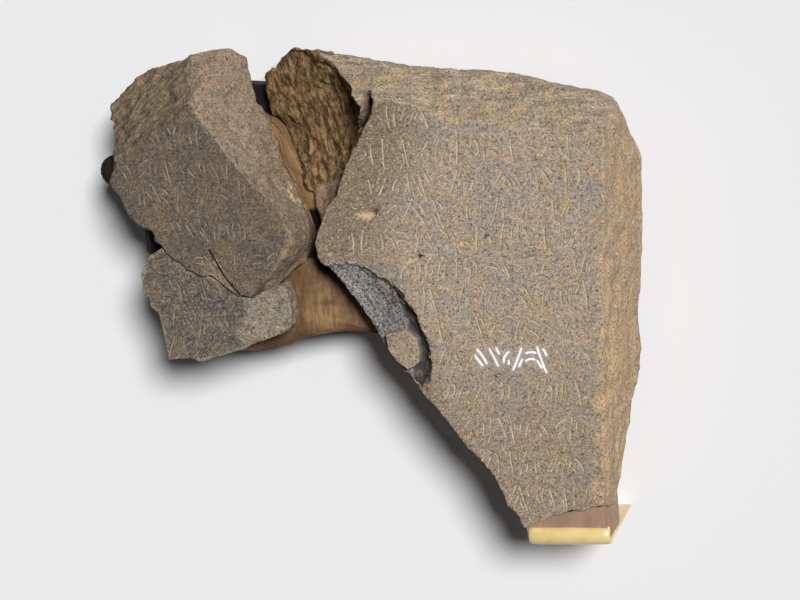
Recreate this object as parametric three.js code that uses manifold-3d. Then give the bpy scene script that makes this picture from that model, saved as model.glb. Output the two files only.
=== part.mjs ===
// Carved stone stele, broken into three inscribed fragments. They sit on a shaped modern backing, and the
// missing foot is made good with a plain block that stands on a small wall bracket.
// Millimetres. The stele lies on its back: +X is its right, +Y its top, +Z points out of the inscribed
// face, z = 0 is the plane of the wall behind it, and the origin is the middle of its footprint.

import * as THREE from 'three';
import { mergeVertices } from 'three/addons/utils/BufferGeometryUtils.js';
import Module from 'manifold-3d';

const wasm = await Module();
wasm.setup();

// Driving dimensions
const steleHeight = 312;       // large fragment, from its top edge to the seam at its foot
const faceLevel = 80;          // inscribed face of the two thick fragments, above the wall plane
const thinFaceLevel = 77;      // inscribed face of the thin lower-left fragment
const panelThickness = 16;     // backing panel behind the thick fragments
const padLevel = 56;           // flat of the backing pad that carries the thin fragment
const padDip = 13;             // fall of the pad's surface toward the large fragment
const padBevel = 5;            // bevel round the pad's upper edge
const seamLevel = 34;          // top of the backing's fill in the seam between the thick fragments
const lugRadius = 11;          // rounded lug of the backing at the left edge
const lugLevel = 58;           // top of that lug
const fitGap = 0.3;            // clearance between pieces that touch
const scarDepth = 10;          // fresh chip in the large fragment's left edge
const bracketWidth = 55;       // along X
const plateThickness = 3;      // bracket plate
const lipHeight = 12.5;        // bracket's turned-up front lip, outside height
const flangeHeight = 42;       // bracket's wall flange, outside height
const screwHole = 5;           // diameter of the two holes in the flange
const screwSpacing = 20;       // between their centres
const flangeWidth = 36;        // wall flange, narrower than the shelf and flush with its left end
const fillSetback = 1.5;       // foot block's front behind the inscribed face
const fillDepth = 40;          // foot block, front to back
const fillReach = 9.5;         // height of the foot block below the seam's left end
const bracketOffset = 1.5;     // bracket's left end inside the foot block's

// The outlines are drawn for a stele 312 mm high whose lines of writing rise 5.5 degrees. Drawn sets a
// point of them at the real height and levels the lines along X.
const unit = steleHeight / 312;
const levelling = THREE.MathUtils.degToRad(5.5);
const [across, along] = [Math.cos(levelling) * unit, Math.sin(levelling) * unit];
const drawn = ([x, y]) => [x * across + y * along, y * across - x * along];
const bed = panelThickness + fitGap;
const padBed = padLevel + fitGap;

// Outline stations, clockwise: front edge x and y, brow x and y, then the brow's level and, where a
// steep wall drops to a floor, the level of that floor, as shares of the stone's thickness
const largeStations = [
  [20, 138, -8, 159, 0.58], [30, 136, 14, 157, 0.58], [45, 133, 34, 155, 0.58], [60, 128, 60, 154, 0.6],
  [79, 126, 84, 154, 0.6], [98, 122, 105, 153, 0.62], [118, 122, 125, 149, 0.68],
  [144, 119, 147, 145, 0.7], [163, 122, 161, 144, 0.7], [171, 124, 170, 140, 0.64],
  [173, 118, 179, 124, 0.37], [173, 110, 182, 107, 0.06], [173, 90, 187, 99, 0.03],
  [173, 60, 188, 60, 0.03], [174, 20, 188, 20, 0.03], [175, -20, 187, -10, 0.03],
  [176, -42, 189, -40, 0.03], [176, -60, 187, -62, 0.07], [177, -90, 184, -92, 0.25],
  [178, -128, 180, -139, 0.52], [160, -134, 160, -140, 0.46], [144, -139, 144, -143, 0.46],
  [124, -150, 125, -150, 0.46], [114, -136, 117, -133, 0.45], [103, -115, 107, -113, 0.42], [86, -99, 90, -97, 0.38],
  [56, -63, 61, -60, 0.3], [37, -49, 43, -45, 0.3], [24, -33, 31, -28, 0.3], [4, -7, 12, -2, 0.3],
  [-10, 15, -2, 18, 0.3], [-20, 28, -14, 30, 0.3], [-22, 36, -27, 35, 0.42],
  [-18, 51, -32, 51, 0.42, 0.55], [-14, 62, -37, 61, 0.36, 0.52], [-7, 69, -44, 71, 0.25, 0.48],
  [-2, 84, -52, 87, 0.14, 0.45], [2, 97, -63, 105, 0.12, 0.45], [7, 107, -72, 115, 0.15, 0.45],
  [12, 115, -75, 131, 0.17, 0.48], [17, 127, -73, 143, 0.2, 0.5], [19, 133, -61, 154, 0.3, 0.56],
  [20, 136, -50, 163, 0.4, 0.62], [20, 137, -24, 160, 0.56, 0.74],
];
const upperStations = [
  [-111, 126, -94, 161, 0.44], [-109, 124, -84, 154, 0.38], [-106, 121, -81, 142, 0.34],
  [-103, 118, -77, 124, 0.34], [-95, 106, -69, 112, 0.31], [-84, 95, -63, 96, 0.31],
  [-73, 82, -58, 80, 0.31], [-61, 65, -51, 67, 0.34], [-50, 52, -43, 54, 0.38], [-40, 43, -36, 38, 0.46],
  [-39, 36, -35, 28, 0.52], [-44, 27, -38, 17, 0.58], [-51, 17, -46, 10, 0.7], [-60, 6, -56, 1, 0.85],
  [-68, -3, -68, -5, 0.93], [-77, -3, -77, -4, 0.95], [-97, 9, -97, 8, 0.95], [-114, 13, -115, 12, 0.95],
  [-136, 31, -137, 30, 0.95], [-139, 38, -140, 37, 0.95], [-147, 41, -148, 39, 0.95],
  [-155, 49, -157, 47, 0.95], [-162, 60, -163, 59, 0.95], [-168, 68, -170, 68, 0.95],
  [-168, 77, -170, 78, 0.93], [-163, 84, -169, 90, 0.83], [-155, 90, -170, 106, 0.78],
  [-147, 96, -175, 119, 0.69], [-139, 102, -171, 129, 0.6], [-131, 109, -156, 142, 0.54],
  [-120, 118, -131, 151, 0.53], [-114, 123, -118, 155, 0.5],
  [-112, 125, -104, 159, 0.46],
];
const lowerStations = [
  [-127, 21], [-115, 12], [-97, 8], [-78, -4], [-68, -3], [-56, 3], [-47, 6], [-43, 0], [-41, -12],
  [-40, -22], [-46, -28], [-70, -37], [-75, -41], [-92, -47], [-106, -52], [-115, -51], [-131, -53],
  [-133, -37], [-137, -19], [-142, -17], [-144, -10], [-149, -6], [-149, 6], [-144, 19], [-134, 26],
].map(([x, y]) => [x, y, x, y, 0.85]);

// Backing: panel outline, and the pad's outline clockwise as stations of a smooth loft
const panelOutline = [
  [-152, 60], [-152, 118], [-138, 132], [148, 132], [164, 108], [164, -30], [138, -52], [72, -52],
  [24, -26], [-40, 0], [-110, 0], [-140, 30],
];
const padOutline = [
  [-29, 17], [-22, 9], [-8, 0], [38, -20], [30, -37], [6, -32], [-14, -32], [-30, -34], [-42, -38],
  [-51, -43], [-80, -50], [-104, -48], [-128, -50], [-132, -24], [-144, 4], [-155, 14], [-156, 34],
  [-120, 40], [-60, 30], [-44, 16], [-36, 19],
];
const padCentre = [-60, -8];
const seamOutline = [
  [-80, 112], [-74, 90], [-66, 70], [-56, 50], [-45, 38], [-30, 38], [-31, 51], [-36, 61], [-43, 71],
  [-51, 87], [-62, 105], [-70, 112],
];
const lugCentre = [-176, 73];
const lugRoot = 30 * unit;
const lugBevel = 3;

// Ends of the seam where the foot block meets the large fragment
const seamEnds = [[125, -150], [178, -122]];

// Finishes seen on the real pieces
const basalt = (color) => new THREE.MeshStandardMaterial({ color, roughness: 0.85, metalness: 0 });
const largeStone = basalt(0x9e8e7f);
const upperStone = basalt(0x74685b);
const lowerStone = basalt(0x6c645b);
const fillPlaster = new THREE.MeshStandardMaterial({ color: 0x9d8168, roughness: 0.7, metalness: 0 });
const backingResin = new THREE.MeshStandardMaterial({ color: 0x8c6f50, roughness: 0.6, metalness: 0 });
const creamPaint = new THREE.MeshStandardMaterial({ color: 0xe0c890, roughness: 0.35, metalness: 0 });

// Repeatable value between 0 and 1 at a whole-number lattice point
function lattice(i, j, k) {
  const wave = Math.sin(i * 127.1 + j * 311.7 + k * 74.7) * 43758.5453;
  return wave - Math.floor(wave);
}

// Smooth noise between -1 and 1: the eight lattice values round the point, blended
function noise(x, y, z) {
  const cell = [x, y, z].map(Math.floor);
  const blend = [x - cell[0], y - cell[1], z - cell[2]].map((t) => t * t * (3 - 2 * t));
  let sum = 0;
  for (let corner = 0; corner < 8; corner += 1) {
    const step = [corner & 1, (corner >> 1) & 1, corner >> 2];
    const weight = step.reduce((w, s, axis) => w * (s ? blend[axis] : 1 - blend[axis]), 1);
    sum += weight * lattice(cell[0] + step[0], cell[1] + step[1], cell[2] + step[2]);
  }
  return 2 * sum - 1;
}

const mix = (a, b, t) => a + (b - a) * t;

// Splits every stretch between stations into steps of about the given length and keeps the corners
function walk(stations, stepLength) {
  const points = [];
  stations.forEach((from, index) => {
    const to = stations[(index + 1) % stations.length];
    const steps = Math.max(1, Math.round(Math.hypot(to[2] - from[2], to[3] - from[3]) / stepLength));
    for (let step = 0; step < steps; step += 1) {
      const t = step / steps;
      const point = [0, 1, 2, 3, 4].map((item) => mix(from[item], to[item], t));
      point.push(from[5] && to[5] ? mix(from[5], to[5], t) : from[5] ?? 0);
      points.push(point);
    }
  });
  return points;
}

// Closed body from rings of equal length between a first and a last single point
function ringsToGeometry(first, rings, last) {
  const count = rings[0].length;
  const vertices = [first, ...rings.flat(), last].flat();
  const end = 1 + rings.length * count;
  const faces = [];
  for (let i = 0; i < count; i += 1) {
    const next = (i + 1) % count;
    faces.push(0, 1 + next, 1 + i);
    for (let ring = 0; ring < rings.length - 1; ring += 1) {
      const a = 1 + ring * count;
      const b = a + count;
      faces.push(a + i, a + next, b + i, a + next, b + next, b + i);
    }
    faces.push(end, end - count + i, end - count + next);
  }
  const geometry = new THREE.BufferGeometry();
  geometry.setAttribute('position', new THREE.Float32BufferAttribute(vertices, 3));
  geometry.setIndex(faces);
  return geometry;
}

// Closed three.js geometry as a solid that can be joined and cut
function toSolid(geometry) {
  const bare = geometry.clone();
  bare.deleteAttribute('normal');
  bare.deleteAttribute('uv');
  const merged = mergeVertices(bare, 1e-4);
  return new wasm.Manifold(new wasm.Mesh({
    numProp: 3,
    vertProperties: new Float32Array(merged.attributes.position.array),
    triVerts: new Uint32Array(merged.index.array),
  }));
}

function toMesh(name, solid, material) {
  const { vertProperties, triVerts } = solid.getMesh();
  const geometry = new THREE.BufferGeometry();
  geometry.setAttribute('position', new THREE.BufferAttribute(vertProperties, 3));
  geometry.setIndex(new THREE.BufferAttribute(triVerts, 1));
  geometry.computeVertexNormals();
  const mesh = new THREE.Mesh(geometry, material);
  mesh.name = name;
  return mesh;
}

const swellLength = 28;        // length of the gentle swells in a dressed face
const lumpSize = 11;           // size of the lumps on a broken surface
const roughWidth = 12;         // a broken slope at least this wide is as rough as it gets

// A broken stone: rings run out over the inscribed face to its front edge, down the broken slope to the
// brow, back along the wall, and in under the back. Grow makes it larger all round except at the back.
function stone(shape, grow = 0) {
  const { stations, centre, front, bottom, rise = 0, stepLength, faceRings, slopeRings } = shape;
  const { faceRough = 0.4, breakRough = 2, undercut = 0.95, ledge = 0.08, seed = 0 } = shape;
  const [cx, cy] = drawn(centre);
  const level = (share) => mix(bottom, front, share);
  const back = (y) => bottom + rise * Math.max(0, footStart - y);
  const swell = (x, y) => faceRough * noise(x / swellLength, y / swellLength, seed);
  const place = (x, y, z, amount) => {
    const away = Math.hypot(x - cx, y - cy) || 1;
    const bump = amount * noise(x / lumpSize, y / lumpSize, z / lumpSize + seed);
    const reach = (bump + grow) / away;
    return [x + (x - cx) * reach, y + (y - cy) * reach, z + bump + grow];
  };
  const samples = walk(stations, stepLength).map(([frontX, frontY, browX, browY, brow, floor]) => {
    const [fx, fy] = drawn([frontX, frontY]);
    const [bx, by] = drawn([browX, browY]);
    return { fx, fy, bx, by, brow: level(brow), floor: floor && level(floor) };
  });
  const rings = [];
  for (let ring = 1; ring <= faceRings; ring += 1) {
    const t = Math.sin((ring / faceRings) * Math.PI / 2);
    rings.push(samples.map(({ fx, fy }) => {
      const x = mix(cx, fx, t);
      const y = mix(cy, fy, t);
      return place(x, y, front + swell(x, y), 0);
    }));
  }
  for (let ring = 1; ring <= slopeRings; ring += 1) {
    rings.push(samples.map(({ fx, fy, bx, by, brow, floor }) => {
      const t = floor ? mix(ledge, 1, (ring - 1) / Math.max(1, slopeRings - 1)) : ring / slopeRings;
      const z = floor ? mix(floor, brow, (t - ledge) / (1 - ledge)) : mix(front, brow, t);
      const width = Math.hypot(bx - fx, by - fy);
      return place(mix(fx, bx, t), mix(fy, by, t), z, breakRough * Math.min(1, width / roughWidth));
    }));
  }
  for (const t of [0.5, 1]) {
    rings.push(samples.map(({ bx, by, brow }) => {
      const scale = mix(1, undercut, t);
      const x = mix(cx, bx, scale);
      const y = mix(cy, by, scale);
      const away = Math.hypot(x - cx, y - cy);
      const z = mix(brow, back(y), t);
      return [x + (x - cx) * grow / away, y + (y - cy) * grow / away, z];
    }));
  }
  for (const t of [0.8, 0.45]) {
    rings.push(samples.map(({ bx, by }) => {
      const x = mix(cx, bx, undercut * t);
      const y = mix(cy, by, undercut * t);
      return [x, y, back(y)];
    }));
  }
  return toSolid(ringsToGeometry([cx, cy, front + swell(cx, cy) + grow], rings, [cx, cy, back(cy)]));
}

// Outline of a plate in the XY plane, drawn up to a level
function plate(outline, height) {
  const shape = new THREE.Shape(outline.map(([x, y]) => new THREE.Vector2(x, y)));
  return new THREE.ExtrudeGeometry(shape, { depth: height, bevelEnabled: false });
}

// Large right fragment: flat inscribed front, rough slope along its top, splayed right side, a deep
// fluted break at its upper left, and a back that rises toward the thin foot
const footStart = -62 * unit;
const large = {
  stations: largeStations, centre: [90, 30], front: faceLevel, bottom: bed, stepLength: 9,
  rise: 0.22, faceRings: 6, slopeRings: 6, seed: 3,
};

// Fresh conchoidal chip in its left edge: a flattened ball lying along that edge
const scar = { centre: [16, -20], length: 52, width: 33, turn: THREE.MathUtils.degToRad(-51) - levelling };
function scarCutter() {
  const ball = new THREE.SphereGeometry(1, 22, 14);
  ball.scale(scar.length * unit, scar.width * unit, scarDepth);
  ball.rotateZ(scar.turn);
  ball.translate(...drawn(scar.centre), faceLevel);
  return toSolid(ball);
}
const largeSolid = stone(large).subtract(scarCutter());

// Upper-left fragment: inscribed face between a steep right slope and a gentler one at its upper left
const upper = {
  stations: upperStations, centre: [-100, 62], front: faceLevel, bottom: bed, stepLength: 8,
  faceRings: 4, slopeRings: 5, undercut: 0.94, seed: 11,
};
const upperSolid = stone(upper);

// Lower-left fragment: a thin slab that fits against the fragment above it
const lower = {
  stations: lowerStations, centre: [-100, -22], front: thinFaceLevel, bottom: padBed, stepLength: 8,
  faceRings: 3, slopeRings: 1, breakRough: 0, undercut: 0.97, seed: 23,
};
const lowerSolid = stone(lower).subtract(stone(upper, fitGap));

// Backing: the panel, the pad that fills the angle between the fragments, and the lug at the left edge,
// moulded as one body and fitted round the stones
const padStep = 12;
function padSolid() {
  const centre = drawn(padCentre);
  const outline = walk(padOutline.map(([x, y]) => [x, y, x, y, 0]), padStep).map(drawn);
  const surface = (x) => padLevel - padDip * THREE.MathUtils.smoothstep(x, -34 * unit, 8 * unit);
  const ringAt = (inset, height) => outline.map(([x, y]) => {
    const keep = 1 - inset / Math.hypot(x - centre[0], y - centre[1]);
    const px = mix(centre[0], x, keep);
    return [px, mix(centre[1], y, keep), height(px)];
  });
  const inner = [0.3, 0.6, 0.8].map((share) => outline.map(([x, y]) => {
    const px = mix(centre[0], x, share);
    return [px, mix(centre[1], y, share), surface(px)];
  }));
  const bevel = [ringAt(padBevel, surface), ringAt(0, (x) => surface(x) - padBevel)];
  const rings = [...inner, ...bevel, ringAt(0, () => 0)];
  return toSolid(ringsToGeometry([...centre, surface(centre[0])], rings, [...centre, 0]));
}

function lugSolid() {
  const [x, y] = drawn(lugCentre);
  const shoulder = [[lugRadius, lugLevel - lugBevel], [lugRadius - lugBevel, lugLevel]];
  const profile = [[0, 0], [lugRadius, 0], ...shoulder, [0, lugLevel]];
  const post = new THREE.LatheGeometry(profile.map(([r, z]) => new THREE.Vector2(r, z)), 20);
  post.rotateX(Math.PI / 2);
  post.translate(x, y, 0);
  const tongue = [[0, -lugRadius], [lugRoot, -lugRadius], [lugRoot, lugRadius], [0, lugRadius]];
  return toSolid(post).add(toSolid(plate(tongue.map(([dx, dy]) => [x + dx, y + dy]), panelThickness)));
}

const backingSolid = [
  toSolid(plate(seamOutline.map(drawn), seamLevel)),
  padSolid(),
  lugSolid(),
].reduce((body, piece) => body.add(piece), toSolid(plate(panelOutline.map(drawn), panelThickness)))
  .subtract(stone(large, fitGap))
  .subtract(stone(upper, fitGap));

// Foot block: a plain prism under the broken foot, fitted to the seam
const [seamLeft, seamRight] = seamEnds.map(drawn);
const shelfTop = seamLeft[1] - fillReach;
const fillFront = faceLevel - fillSetback;
function footSolid() {
  const width = seamRight[0] - seamLeft[0];
  const height = seamRight[1] - shelfTop - fitGap;
  const block = new THREE.BoxGeometry(width, height, fillDepth);
  block.translate(seamLeft[0] + width / 2, seamRight[1] - height / 2, fillFront - fillDepth / 2);
  return toSolid(block).subtract(stone(large, fitGap));
}

// Bracket: a bent plate with a lip in front of the block and a shelf under it, and a narrower wall
// flange behind, drilled for two screws
const bracketLeft = seamLeft[0] + bracketOffset;
function bracketSolid() {
  const inner = fillFront + fitGap;
  const outer = inner + plateThickness;
  const low = shelfTop - plateThickness;
  const lipEnd = low + lipHeight;
  const edge = plateThickness * 0.45;
  const section = new THREE.Shape();
  section.moveTo(0, low);
  section.absarc(inner, shelfTop, plateThickness, -Math.PI / 2, 0);
  section.absarc(outer - edge, lipEnd - edge, edge, 0, Math.PI / 2);
  section.absarc(inner + edge, lipEnd - edge, edge, Math.PI / 2, Math.PI);
  section.lineTo(inner, shelfTop);
  section.lineTo(0, shelfTop);
  const drawnOut = { depth: bracketWidth, bevelEnabled: false, curveSegments: 5 };
  const bent = new THREE.ExtrudeGeometry(section, drawnOut);
  bent.rotateY(-Math.PI / 2);
  bent.translate(bracketLeft + bracketWidth, 0, 0);
  const flange = new THREE.BoxGeometry(flangeWidth, flangeHeight, plateThickness);
  const flangeMiddle = bracketLeft + flangeWidth / 2;
  flange.translate(flangeMiddle, low + flangeHeight / 2, plateThickness / 2);
  const holeY = (shelfTop + low + flangeHeight) / 2;
  return [-1, 1].reduce((body, side) => {
    const drill = new THREE.CylinderGeometry(screwHole / 2, screwHole / 2, plateThickness * 2, 16);
    drill.rotateX(Math.PI / 2);
    drill.translate(flangeMiddle + side * screwSpacing / 2, holeY, plateThickness / 2);
    return body.subtract(toSolid(drill));
  }, toSolid(bent).add(toSolid(flange)));
}

const stele = new THREE.Group();
stele.add(
  toMesh('large_fragment', largeSolid, largeStone),
  toMesh('upper_left_fragment', upperSolid, upperStone),
  toMesh('lower_left_fragment', lowerSolid, lowerStone),
  toMesh('backing', backingSolid, backingResin),
  toMesh('foot_block', footSolid(), fillPlaster),
  toMesh('wall_bracket', bracketSolid(), creamPaint),
);

// The origin goes to the middle of the footprint
const middle = new THREE.Box3().setFromObject(stele).getCenter(new THREE.Vector3());
stele.position.set(-middle.x, -middle.y, 0);

export default stele;
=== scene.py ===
# Three fragments of a carved basalt stele on a modern backing, with a filled foot in a wall bracket.
# Metres, in the frame of the CAD model. Lengths in the mesh code are millimetres until a mesh is made.

import math

import bpy
import numpy as np
from mathutils import Matrix, Vector


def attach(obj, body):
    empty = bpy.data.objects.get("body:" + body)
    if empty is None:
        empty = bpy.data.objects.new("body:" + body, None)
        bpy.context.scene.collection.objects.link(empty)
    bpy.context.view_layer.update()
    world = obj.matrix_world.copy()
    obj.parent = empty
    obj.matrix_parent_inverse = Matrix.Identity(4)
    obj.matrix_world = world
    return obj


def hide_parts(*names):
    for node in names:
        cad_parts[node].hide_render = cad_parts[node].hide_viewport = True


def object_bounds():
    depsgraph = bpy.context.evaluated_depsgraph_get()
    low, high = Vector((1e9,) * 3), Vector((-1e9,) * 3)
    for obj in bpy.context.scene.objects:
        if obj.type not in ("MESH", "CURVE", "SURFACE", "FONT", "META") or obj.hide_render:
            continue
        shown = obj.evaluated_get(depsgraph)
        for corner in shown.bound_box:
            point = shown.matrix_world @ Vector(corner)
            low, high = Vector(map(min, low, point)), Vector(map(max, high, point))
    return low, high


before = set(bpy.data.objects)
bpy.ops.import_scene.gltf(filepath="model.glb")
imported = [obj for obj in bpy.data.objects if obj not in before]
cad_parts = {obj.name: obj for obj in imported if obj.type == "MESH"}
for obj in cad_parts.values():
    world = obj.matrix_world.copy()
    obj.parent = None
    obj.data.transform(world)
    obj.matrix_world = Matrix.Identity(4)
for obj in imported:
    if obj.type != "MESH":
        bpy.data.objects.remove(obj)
cad_low, cad_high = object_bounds()

# The studio: a wide matt white floor, one soft lamp up to the right and an even dim sky. The lamp stands
# 36 degrees off the vertical and is 17 degrees wide, so shadows fall to the lower left with soft edges.

MM = 0.001


def linear(code):
    """An sRGB hex colour as linear red, green, blue and alpha."""
    share = np.array([int(code[i:i + 2], 16) / 255 for i in (1, 3, 5)])
    light = np.where(share <= 0.04045, share / 12.92, ((share + 0.055) / 1.055) ** 2.4)
    return (*light.tolist(), 1.0)


def node(tree, kind, inputs=None, **settings):
    """Adds one shader node, sets its properties, and sets or links its inputs by name or number."""
    made = tree.nodes.new("ShaderNode" + kind)
    for name, value in settings.items():
        setattr(made, name, value)
    for name, value in (inputs or {}).items():
        if isinstance(value, bpy.types.NodeSocket):
            tree.links.new(value, made.inputs[name])
        else:
            made.inputs[name].default_value = value
    return made


def bare_material(name):
    """A new material with no nodes but its output."""
    material = bpy.data.materials.new(name)
    material.use_nodes = True
    material.node_tree.nodes.clear()
    return material, material.node_tree


def put_mesh(name, points, faces, material):
    """A mesh object from points in millimetres and rows of point numbers, smooth all over."""
    mesh = bpy.data.meshes.new(name)
    sides = faces.shape[1]
    mesh.vertices.add(len(points))
    mesh.vertices.foreach_set("co", (points * MM).astype(np.float32).ravel())
    mesh.loops.add(faces.size)
    mesh.loops.foreach_set("vertex_index", faces.astype(np.int32).ravel())
    mesh.polygons.add(len(faces))
    mesh.polygons.foreach_set("loop_start", np.arange(len(faces), dtype=np.int32) * sides)
    mesh.polygons.foreach_set("use_smooth", np.ones(len(faces), dtype=bool))
    mesh.update(calc_edges=True)
    mesh.validate()
    mesh.materials.append(material)
    made = bpy.data.objects.new(name, mesh)
    bpy.context.scene.collection.objects.link(made)
    return made


FLOOR_HALF = 6000
LAMP_WAY = Vector((0.57, 0.46, 1.0)).normalized()
LAMP_STRENGTH = 3.86
LAMP_WIDTH = math.radians(17)
SKY_STRENGTH = 0.05
matt_board, tree = bare_material("matt_white_board")
shade = node(tree, "BsdfPrincipled", {"Base Color": linear("#e6e6e7"), "Roughness": 0.9})
shade.inputs["Specular IOR Level"].default_value = 0.1
node(tree, "OutputMaterial", {"Surface": shade.outputs[0]})
corners = np.array([[-1, -1, 0], [1, -1, 0], [1, 1, 0], [-1, 1, 0]], float) * FLOOR_HALF
floor = put_mesh("floor", corners, np.array([[0, 1, 2, 3]]), matt_board)

lamp_data = bpy.data.lights.new("key_lamp", "SUN")
lamp_data.energy = LAMP_STRENGTH
lamp_data.angle = LAMP_WIDTH
lamp = bpy.data.objects.new("key_lamp", lamp_data)
lamp.rotation_mode = "QUATERNION"
lamp.rotation_quaternion = LAMP_WAY.to_track_quat("Z", "Y")
lamp.location = LAMP_WAY * 2
bpy.context.scene.collection.objects.link(lamp)

sky = bpy.data.worlds.new("even_sky")
sky.use_nodes = True
sky.node_tree.nodes.clear()
glow = node(sky.node_tree, "Background", {"Color": (0.97, 0.98, 1.0, 1.0), "Strength": SKY_STRENGTH})
node(sky.node_tree, "OutputWorld", {"Surface": glow.outputs[0]})
bpy.context.scene.world = sky
bpy.context.scene.view_settings.view_transform = "Standard"
bpy.context.scene.view_settings.look = "None"

# The camera looks down on the inscription from 16 degrees to its right and 14 above it, with a long lens.
VIEW_PAN, VIEW_RISE, VIEW_ROLL = (math.radians(angle) for angle in (16, 14, 5.5))
VIEW_CENTRE = Vector((29.03, 0.98, 80)) * MM
VIEW_DISTANCE = 1.6
camera_data = bpy.data.cameras.new("camera")
camera_data.sensor_width = 36
camera_data.lens = 108
camera = bpy.data.objects.new("camera", camera_data)
back = Vector((math.sin(VIEW_PAN) * math.cos(VIEW_RISE), math.sin(VIEW_RISE),
               math.cos(VIEW_PAN) * math.cos(VIEW_RISE)))
right = Vector((back.z, 0, -back.x)).normalized()
axes = Matrix((right, back.cross(right), back)).transposed()
axes = Matrix.Rotation(-VIEW_ROLL, 3, "Z") @ axes
camera.matrix_world = Matrix.Translation(VIEW_CENTRE + axes.col[2] * VIEW_DISTANCE) @ axes.to_4x4()
bpy.context.scene.collection.objects.link(camera)
bpy.context.scene.camera = camera

# Large fragment: dark grey-brown basalt with a dressed, inscribed front, a rough slope along its top, a
# smooth splayed right side and a deep fluted break at its upper left. The left edge carries a fresh grey
# chip. The writing is shallow cut strokes with pale dust in them, and one group of marks is chalked.


def node_shell(name):
    """A CAD node's loose triangles as one shell in millimetres: corners at one place become one point."""
    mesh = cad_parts[name].data
    corners = np.empty(len(mesh.vertices) * 3, np.float32)
    mesh.vertices.foreach_get("co", corners)
    mesh.calc_loop_triangles()
    faces = np.empty(len(mesh.loop_triangles) * 3, np.int32)
    mesh.loop_triangles.foreach_get("vertices", faces)
    points, place = np.unique(np.round(corners.reshape(-1, 3) / MM, 3), axis=0, return_inverse=True)
    faces = place.ravel()[faces.reshape(-1, 3)]
    whole = (faces != np.roll(faces, 1, axis=1)).all(axis=1)
    return points.astype(float), faces[whole]


def edges_of(faces, count):
    """Each edge once as a pair of points, and for each face the numbers of its three edges."""
    pairs = np.sort(np.stack([faces, np.roll(faces, -1, axis=1)], axis=2), axis=2).reshape(-1, 2)
    keys, place = np.unique(pairs[:, 0].astype(np.int64) * count + pairs[:, 1], return_inverse=True)
    return np.stack([keys // count, keys % count], axis=1), place.reshape(-1, 3)


def refine(points, faces, spacing):
    """Halves every edge longer than spacing says at its middle, the longest first, until none is left."""
    for limit in 40 / 2 ** (np.arange(14) / 2):
        for _ in range(3):
            edges, own = edges_of(faces, len(points))
            span = np.linalg.norm(points[edges[:, 0]] - points[edges[:, 1]], axis=1)
            middle = points[edges].mean(axis=1)
            cut = span > limit
            cut[cut] = span[cut] > spacing(middle[cut])
            if not cut.any():
                break
            new = np.full(len(edges), -1)
            new[cut] = len(points) + np.arange(cut.sum())
            points = np.concatenate([points, middle[cut]])
            faces = split(points, faces, new[own])
    return points, faces


def split(points, faces, mids):
    """Cuts each triangle at the middles that its edges got: into two, three or four."""
    cuts = (mids >= 0).sum(axis=1)
    parts = [faces[cuts == 0]]
    one = cuts == 1
    turn = (mids[one].argmax(axis=1)[:, None] + np.arange(3)) % 3
    a, b, c = np.take_along_axis(faces[one], turn, axis=1).T
    m = mids[one].max(axis=1)
    parts += [np.stack([a, m, c], axis=1), np.stack([m, b, c], axis=1)]
    two = cuts == 2
    turn = (mids[two].argmin(axis=1)[:, None] + np.arange(1, 4)) % 3
    a, b, c = np.take_along_axis(faces[two], turn, axis=1).T
    m, n, _ = np.take_along_axis(mids[two], turn, axis=1).T
    short = np.linalg.norm(points[a] - points[n], axis=1) < np.linalg.norm(points[m] - points[c], axis=1)
    parts += [np.stack([m, b, n], axis=1), np.stack([a, m, np.where(short, n, c)], axis=1),
              np.stack([np.where(short, a, m), n, c], axis=1)]
    three = cuts == 3
    (a, b, c), (m, n, o) = faces[three].T, mids[three].T
    parts += [np.stack(part, axis=1) for part in ((a, m, o), (m, b, n), (o, n, c), (m, n, o))]
    return np.concatenate(parts)


def relax(points, faces, rounds, steps=(0.5, -0.52)):
    """Each point goes half way to the mean of its neighbours, then back a little more, round after round."""
    edges, _ = edges_of(faces, len(points))
    both = np.concatenate([edges, edges[:, ::-1]])
    number = np.bincount(both[:, 0], minlength=len(points))[:, None]
    for step in steps * rounds:
        total = [np.bincount(both[:, 0], points[both[:, 1], axis], len(points)) for axis in range(3)]
        points = points + step * (np.stack(total, axis=1) / number - points)
    return points


def normals_of(points, faces):
    """The mean way out at each point, larger faces counting for more."""
    a, b, c = points[faces].transpose(1, 0, 2)
    way = np.cross(b - a, c - a)
    total = [np.bincount(faces.ravel(), np.repeat(way[:, axis], 3), len(points)) for axis in range(3)]
    total = np.stack(total, axis=1)
    return total / np.maximum(np.linalg.norm(total, axis=1, keepdims=True), 1e-9)


def grain(points, size, seed):
    """Smooth noise from -1 to 1: a fixed value at each corner of a lattice of the given size, blended."""
    place = points / size + seed * 7.31
    cell = np.floor(place).astype(np.int64)
    part = place - cell
    part = part * part * (3 - 2 * part)
    total = np.zeros(len(points))
    for corner in np.ndindex(2, 2, 2):
        mixed = ((cell + corner) * (73856093, 19349663, 83492791)).sum(axis=1) + seed * 911
        mixed = (mixed ^ (mixed >> 13)) * 1274126177 & 0x7FFFFFFF
        value = ((mixed ^ (mixed >> 15)) & 0xFFFF) / 32767.5 - 1
        total += value * np.where(corner, part, 1 - part).prod(axis=1)
    return total


def fine_grain(points, size, seed, octaves=3):
    """Noise at the given size, plus noise at half of it with half the height, and so on."""
    return sum(grain(points, np.asarray(size) / 2 ** i, seed + i) / 2 ** i for i in range(octaves))


def ease(low, high, value):
    """0 up to low, 1 from high, and a smooth rise between them."""
    t = np.clip((value - low) / (high - low), 0, 1)
    return t * t * (3 - 2 * t)


LEVELLING = math.radians(5.5)
SHEET_SHIFT = np.array([-7.995, 2.539])


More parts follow.
